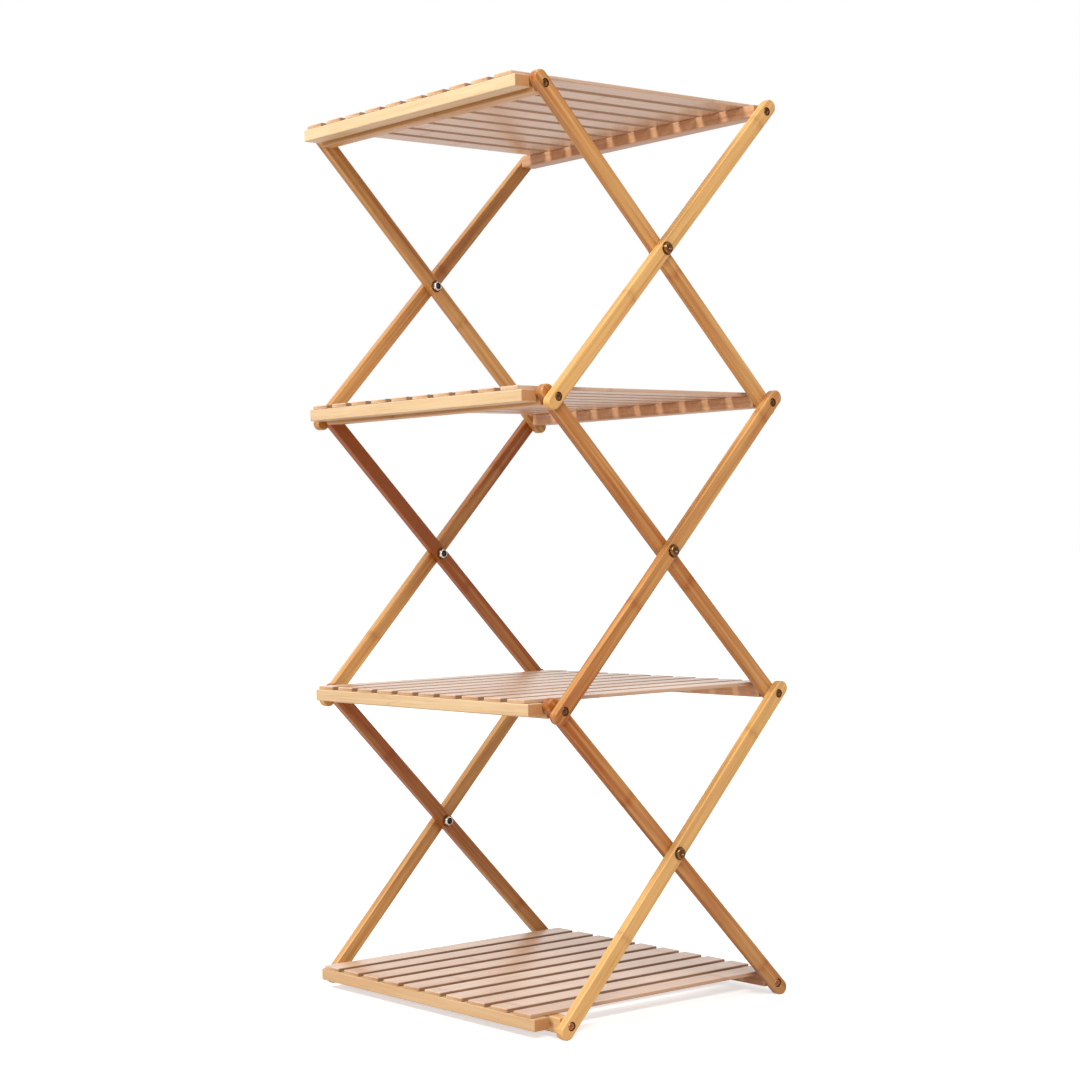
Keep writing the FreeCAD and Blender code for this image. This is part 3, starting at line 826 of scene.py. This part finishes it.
def bolt_pair(sizes, node, finishes):
    """A pair of crossing bolts with domed heads and six-sided sockets."""
    low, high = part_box(node)
    height = sizes.bolt_head_height
    inset = sizes.bolt_inset
    shape = Shape(f"{node}_look")
    for side in (-1, 1):
        seat = (high.x if side > 0 else -low.x) - height
        shape.start_piece(facing(side, beside(node, side, seat)), f"{node}{side}")
        crown_ring = pan_head(shape, sizes.bolt_head_radius, height, crown_share=0.62, rise=0.8)
        socket = socket_outline(sizes.socket_across, height)
        socket_floor = socket_outline(sizes.socket_across * 0.9, height - sizes.socket_depth)
        sink(shape, crown_ring, socket, socket_floor)
        shape.finish_index = 1
        shank(shape, sizes.bolt_radius, inner_face(node.replace("bolts", "nuts")) + inset - seat, inset)
    shape.finish("aged_brass_bolts", node, finishes)


def inner_face(node):
    """How far from the rack's middle plane a pair of fasteners begins."""
    return min(abs(vert.co.x) for vert in frame["nodes"][node].data.vertices)


def washer_pair(sizes, node, finish):
    """A pair of flat washers with rounded rims."""
    low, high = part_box(node)
    radius = (high.z - low.z) / 2
    inside = inner_face(node)
    thick = high.x - inside
    soft = thick * 0.3
    shoulder = soft * 0.3
    hole = sizes.bolt_hole_radius
    shape = Shape(f"{node}_look")
    for side in (-1, 1):
        shape.start_piece(facing(side, beside(node, side, inside)), f"{node}{side}")
        profile = [(hole, 0, 0), (radius - soft, 0, 0), (radius, soft, 0.6), (radius, thick - soft, 0.6)]
        profile += [(radius - shoulder, thick - shoulder, 1), (radius - soft, thick, 0), (hole, thick, 0)]
        rings = turned(shape, profile)
        shape.loft([rings[-1], rings[0]])
    shape.finish("aged_brass_bolts", node, [finish])


def hexagon(shape, flat, limit, height, edge):
    """A level six-sided ring whose corners reach no further than a limit."""
    points = []
    for index in range(NUT_STEPS):
        turn = 2 * math.pi * index / NUT_STEPS
        from_flat = (turn + math.pi / 6) % (math.pi / 3) - math.pi / 6
        radius = min(limit, flat / math.cos(from_flat))
        points.append((Vector((radius * math.cos(turn), radius * math.sin(turn), height)), edge))
    return shape.ring(points)


def nut_pair(sizes, node, finishes):
    """A pair of lock nuts: a six-sided body with cut corners, a round collar and a dark ring inside it."""
    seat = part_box(node)[1].x
    tall = seat - inner_face(node)
    flat = sizes.nut_across / 2
    corner = flat / math.cos(math.pi / 6)
    collar = flat * 0.93
    body_top = tall - sizes.nut_collar
    seat_cut = tall * 0.12
    top_cut = body_top * 0.86
    insert_top = tall - sizes.bolt_inset
    insert = sizes.insert_radius
    shape = Shape(f"{node}_look")
    for side in (-1, 1):
        shape.start_piece(facing(-side, beside(node, side, seat)), f"{node}{side}")
        rings = []
        for limit, height, edge in ((flat, 0, 0), (corner, seat_cut, 0.4), (corner, top_cut, 0.4)):
            rings.append(hexagon(shape, flat, limit, height, edge))
        rings.append(hexagon(shape, flat, flat, body_top, 0.2))
        profile = [(collar, body_top, 0), (collar, tall - sizes.nut_collar * 0.4, 0.3)]
        profile += [(collar * 0.95, tall - sizes.nut_collar * 0.1, 1), (collar * 0.88, tall, 0.4)]
        profile += [(insert, tall, 0.8), (insert, insert_top, 0)]
        rings += round_rings(shape, profile, NUT_STEPS)
        shape.loft(rings)
        shape.finish_index = 1
        bolt = sizes.bolt_radius
        turned(shape, [(insert, insert_top, 0), (bolt, insert_top, 0), (bolt, body_top, 0)], NUT_STEPS)
    shape.finish("nickel_nuts", node, finishes)


def shelf_brads(sizes, shelf, finish):
    """The brads of one shelf, each with a softly rounded foot flush with its batten."""
    node = f"{shelf}_shelf_brads"
    brads_low, brads_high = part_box(node)
    count = sizes.slat_count
    radius = sizes.brad_radius
    pitch = (brads_high.x - brads_low.x - 2 * radius) / (count - 1)
    tip_radius = radius * 0.4
    shape = Shape(f"{node}_look")
    for batten, line in (("front", brads_low.y + radius), ("back", brads_high.y - radius)):
        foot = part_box(f"{shelf}_shelf_{batten}_batten")[0].z
        tall = brads_high.z - foot
        for index in range(count):
            place = Vector((brads_low.x + radius + index * pitch, line, foot))
            shape.start_piece(Matrix.Translation(place), f"{node}{batten}{index}")
            profile = [(radius * 0.5, 0, 0), (radius * 0.9, radius * 0.15, 0.5), (radius, radius * 0.4, 1)]
            profile += [(radius, tall - radius, 0), (tip_radius, tall, 0)]
            rings = turned(shape, profile, BRAD_STEPS)
            shape.face(rings[0])
            shape.face(rings[-1])
    shape.finish("steel_brads", node, [finish])


# Stage


def look_from_photo(name):
    """The camera at the photographed angle."""
    heading, dip, roll = (math.radians(angle) for angle in (CAMERA_HEADING, CAMERA_DIP, CAMERA_ROLL))
    ahead = Vector((-math.sin(heading) * math.cos(dip), math.cos(heading) * math.cos(dip), -math.sin(dip)))
    level_right = Vector((math.cos(heading), math.sin(heading), 0))
    level_up = level_right.cross(ahead)
    right = math.cos(roll) * level_right + math.sin(roll) * level_up
    up = right.cross(ahead)
    data = bpy.data.cameras.new(name)
    data.lens = CAMERA_LENS
    data.sensor_width = CAMERA_SENSOR
    data.clip_start = CAMERA_CLIP_START
    camera = bpy.data.objects.new(name, data)
    turn = Matrix((right, up, -ahead)).transposed().to_4x4()
    camera.matrix_world = Matrix.Translation(CAMERA_PLACE) @ turn
    bpy.context.scene.collection.objects.link(camera)
    bpy.context.scene.camera = camera


def soft_box(name, place, power, reach, tint):
    """A square studio lamp at a place, aimed at the middle of the rack."""
    data = bpy.data.lights.new(name, "AREA")
    data.energy = power
    data.size = reach
    data.color = tint
    lamp = bpy.data.objects.new(name, data)
    lamp.location = place
    lamp.rotation_mode = "QUATERNION"
    lamp.rotation_quaternion = (Vector(place) - Vector(MIDDLE_OF_RACK)).to_track_quat("Z", "Y")
    bpy.context.scene.collection.objects.link(lamp)


def seen_directly(tree, mirrored):
    """One for what the camera sees, a share for reflections, and nought for all other light."""
    path = add_node(tree, "ShaderNodeLightPath").outputs
    seen = maths(tree, "MAXIMUM", path["Is Camera Ray"], path["Is Transmission Ray"])
    return maths(tree, "MAXIMUM", seen, maths(tree, "MULTIPLY", path["Is Glossy Ray"], mirrored))


def white_surroundings():
    """White surroundings that give a softer light than they show."""
    world = bpy.data.worlds.new("White studio")
    bpy.context.scene.world = world
    world.use_nodes = True
    tree = world.node_tree
    background = tree.nodes["Background"]
    background.inputs["Color"].default_value = (1, 1, 1, 1)
    seen = seen_directly(tree, MIRRORED_SURROUNDINGS)
    shown = maths(tree, "MULTIPLY_ADD", seen, 1 - SURROUNDING_LIGHT, SURROUNDING_LIGHT)
    tree.links.new(shown, background.inputs["Strength"])


def pale_floor(tint, bounce):
    """A broad floor that shows white, keeps the rack's shadow and gives a dimmer light from below."""
    data = bpy.data.meshes.new("Studio_floor")
    reach = FLOOR_REACH
    corners = ((-reach, -reach, 0), (reach, -reach, 0), (reach, reach, 0), (-reach, reach, 0))
    data.from_pydata(corners, [], [(0, 1, 2, 3)])
    floor = bpy.data.objects.new("Studio_floor", data)
    bpy.context.scene.collection.objects.link(floor)
    material, tree, shader = new_material("Studio floor paint")
    place = add_node(tree, "ShaderNodeTexCoord").outputs["Object"]
    speckle = cloud(tree, place, scale=40, detail=3)
    lighter = tuple(min(1.0, part * 1.02) for part in tint)
    paint = blended(tree, speckle, (*tint, 1), (*lighter, 1))
    in_sight = add_node(tree, "ShaderNodeLightPath").outputs["Is Camera Ray"]
    tree.links.new(blended(tree, in_sight, (*bounce, 1), paint), shader.inputs["Base Color"])
    shader.inputs["Roughness"].default_value = 0.9
    shader.inputs["Specular IOR Level"].default_value = 0.1
    shader.inputs["Emission Color"].default_value = (1, 1, 1, 1)
    distance = add_node(tree, "ShaderNodeVectorMath", {0: place}, operation="LENGTH").outputs["Value"]
    strength = spread(tree, distance, GLOW_NEAR, GLOW_FAR, FLOOR_GLOW, 1)
    shown = maths(tree, "MULTIPLY", seen_directly(tree, MIRRORED_FLOOR), strength)
    tree.links.new(shown, shader.inputs["Emission Strength"])
    data.materials.append(material)


class RACK_OT_stage(Operator):
    """Set up the camera, the lamps, the white surroundings and the floor"""

    bl_idname = "rack.stage"
    bl_label = "Stage"

    def execute(self, context):
        context.scene.view_settings.view_transform = "Standard"
        look_from_photo("Photo_camera")
        soft_box("Key_lamp", **KEY_LAMP)
        soft_box("Side_lamp", **SIDE_LAMP)
        white_surroundings()
        colours = context.scene.rack_colours
        pale_floor(colours.floor, colours.bounce)
        return {"FINISHED"}


class RACK_OT_bars(Operator):
    """Build the twelve bars of the side frames"""

    bl_idname = "rack.bars"
    bl_label = "Frame bars"

    def execute(self, context):
        colours = context.scene.rack_colours
        tones = (colours.bar_light, colours.bar_deep, colours.block_cut)
        lacquered = bamboo("Lacquered bamboo bar", tones, streaks=1.4, lacquer=0.25, shine=0.35)
        # The holes' walls take a dark finish as painted shade
        bore_shade = bamboo("Bamboo bores with painted shade", (colours.bore_shade, colours.bore_shade, colours.bore_shade), lacquer=0)
        for tier in range(len(TIERS)):
            for side_name in SIDES:
                for layer in ("inner", "outer"):
                    frame_bar(context.scene.rack_sizes, tier, side_name, layer, [lacquered, bore_shade])
        return {"FINISHED"}


class RACK_OT_rails(Operator):
    """Build the four front rails"""

    bl_idname = "rack.rails"
    bl_label = "Front rails"

    def execute(self, context):
        colours = context.scene.rack_colours
        radius = context.scene.rack_sizes.rail_round
        tones = (colours.rail_light, colours.rail_deep, colours.block_cut)
        finish = bamboo("Lacquered bamboo rail", tones)
        for shelf in SHELVES:
            long_block(f"{shelf}_front_rail", radius, "bamboo_rail", finish, RAIL_TONES[shelf])
        return {"FINISHED"}


class RACK_OT_slats(Operator):
    """Build the ten slats of each shelf"""

    bl_idname = "rack.slats"
    bl_label = "Slats"

    def execute(self, context):
        colours = context.scene.rack_colours
        tones = (colours.slat_light, colours.slat_deep, colours.slat_gap_shade)
        end_tones = (colours.batten_light, colours.batten_deep, colours.block_cut)
        grain = {"strips": 110.0, "spacing": 0.31}
        finish = bamboo("Lacquered bamboo slat", tones, **grain, streaks=0.6, lacquer=0.75)
        end_finish = bamboo("Bamboo slat end", end_tones, **BATTEN_GRAIN, streaks=0.4, lacquer=0.2)
        for shelf in SHELVES:
            shelf_slats(context.scene.rack_sizes, shelf, [finish, end_finish])
        return {"FINISHED"}


class RACK_OT_battens(Operator):
    """Build the front and the back batten of each shelf"""

    bl_idname = "rack.battens"
    bl_label = "Battens"

    def execute(self, context):
        colours = context.scene.rack_colours
        radius = context.scene.rack_sizes.batten_round
        front_tones = (colours.batten_light, colours.batten_deep, colours.block_cut)
        # The back battens' deeper colours are painted shade under the slats
        back_shaded_tones = (colours.rear_shaded_light, colours.rear_shaded_deep, colours.block_cut)
        front = bamboo("Lacquered bamboo batten", front_tones, **BATTEN_GRAIN, streaks=0.7)
        back = bamboo("Lacquered bamboo rear batten", back_shaded_tones, **BATTEN_GRAIN, streaks=0.9)
        for shelf in SHELVES:
            lines = (("front", front, BATTEN_TONES[shelf]), ("back", back, BACK_BATTEN_SHADED_TONE))
            for line, finish, tone in lines:
                long_block(f"{shelf}_shelf_{line}_batten", radius, "bamboo_batten", finish, tone)
        return {"FINISHED"}


class RACK_OT_screws(Operator):
    """Build the pairs of pivot screws"""

    bl_idname = "rack.screws"
    bl_label = "Pivot screws"

    def execute(self, context):
        colours = context.scene.rack_colours
        aged = metal("Aged brass screw", colours.brass_worn, colours.brass_aged, film=0.75, smoothness=0.16)
        copper = metal("Coppery screw", colours.copper_worn, colours.copper_aged, film=0.6, smoothness=0.34)
        for shelf in SHELVES:
            for line in ("front", "back"):
                finish = copper if shelf == "bottom" else aged
                screw_pair(context.scene.rack_sizes, f"{shelf}_{line}_screws", finish)
        return {"FINISHED"}


class RACK_OT_crossings(Operator):
    """Build the bolts, washers and lock nuts where the bars cross"""

    bl_idname = "rack.crossings"
    bl_label = "Crossing bolts"

    def execute(self, context):
        sizes = context.scene.rack_sizes
        colours = context.scene.rack_colours
        brass = metal("Aged brass bolt", colours.brass_worn, colours.brass_aged, film=0.75, smoothness=0.44)
        steel = metal("Steel bolt end", colours.steel_dull, colours.bolt_end, film=0.8, smoothness=0.1)
        nickel = metal("Nickel nut", colours.nickel_bright, colours.nickel_dull, film=0.3, smoothness=0.3)
        insert = metal("Nut insert", colours.insert, colours.insert, film=0.5, smoothness=0, metallic=0)
        for tier in TIERS:
            bolt_pair(sizes, f"{tier}_cross_bolts", [brass, steel])
            washer_pair(sizes, f"{tier}_cross_outer_washers", brass)
            washer_pair(sizes, f"{tier}_cross_inner_washers", brass)
            nut_pair(sizes, f"{tier}_cross_nuts", [nickel, insert])
        return {"FINISHED"}


class RACK_OT_brads(Operator):
    """Build the brads under the battens"""

    bl_idname = "rack.brads"
    bl_label = "Brads"

    def execute(self, context):
        colours = context.scene.rack_colours
        finish = metal("Steel brad", colours.steel_bright, colours.steel_dull, film=0.5, smoothness=0.12)
        for shelf in SHELVES:
            shelf_brads(context.scene.rack_sizes, shelf, finish)
        return {"FINISHED"}


class RACK_PT_panel(Panel):
    """The rack's sizes, colours and pieces"""

    bl_idname = "RACK_PT_panel"
    bl_label = "Folding shelf rack"
    bl_space_type = "VIEW_3D"
    bl_region_type = "UI"
    bl_category = "Rack"

    def draw(self, context):
        layout = self.layout
        scene = context.scene
        for heading, group in (("Sizes", scene.rack_sizes), ("Colours", scene.rack_colours)):
            box = layout.box()
            box.label(text=heading)
            for name in group.__annotations__:
                box.prop(group, name)
        column = layout.column(align=True)
        for operator in OPERATORS:
            column.operator(operator.bl_idname)


OPERATORS = (
    RACK_OT_stage,
    RACK_OT_bars,
    RACK_OT_rails,
    RACK_OT_slats,
    RACK_OT_battens,
    RACK_OT_screws,
    RACK_OT_crossings,
    RACK_OT_brads,
)
CLASSES = (RackSizes, RackColours, *OPERATORS, RACK_PT_panel)


def register():
    """Register the classes and hang their settings on the scene."""
    for item in CLASSES:
        bpy.utils.register_class(item)
    bpy.types.Scene.rack_sizes = PointerProperty(type=RackSizes)
    bpy.types.Scene.rack_colours = PointerProperty(type=RackColours)


def unregister():
    """Take the settings and the classes away again."""
    del bpy.types.Scene.rack_colours
    del bpy.types.Scene.rack_sizes
    for item in reversed(CLASSES):
        bpy.utils.unregister_class(item)


def main():
    """Build the whole scene."""
    register()
    bpy.ops.rack.stage()
    bpy.ops.rack.bars()
    bpy.ops.rack.rails()
    bpy.ops.rack.slats()
    bpy.ops.rack.battens()
    bpy.ops.rack.screws()
    bpy.ops.rack.crossings()
    bpy.ops.rack.brads()


if __name__ == "__main__":
    main()
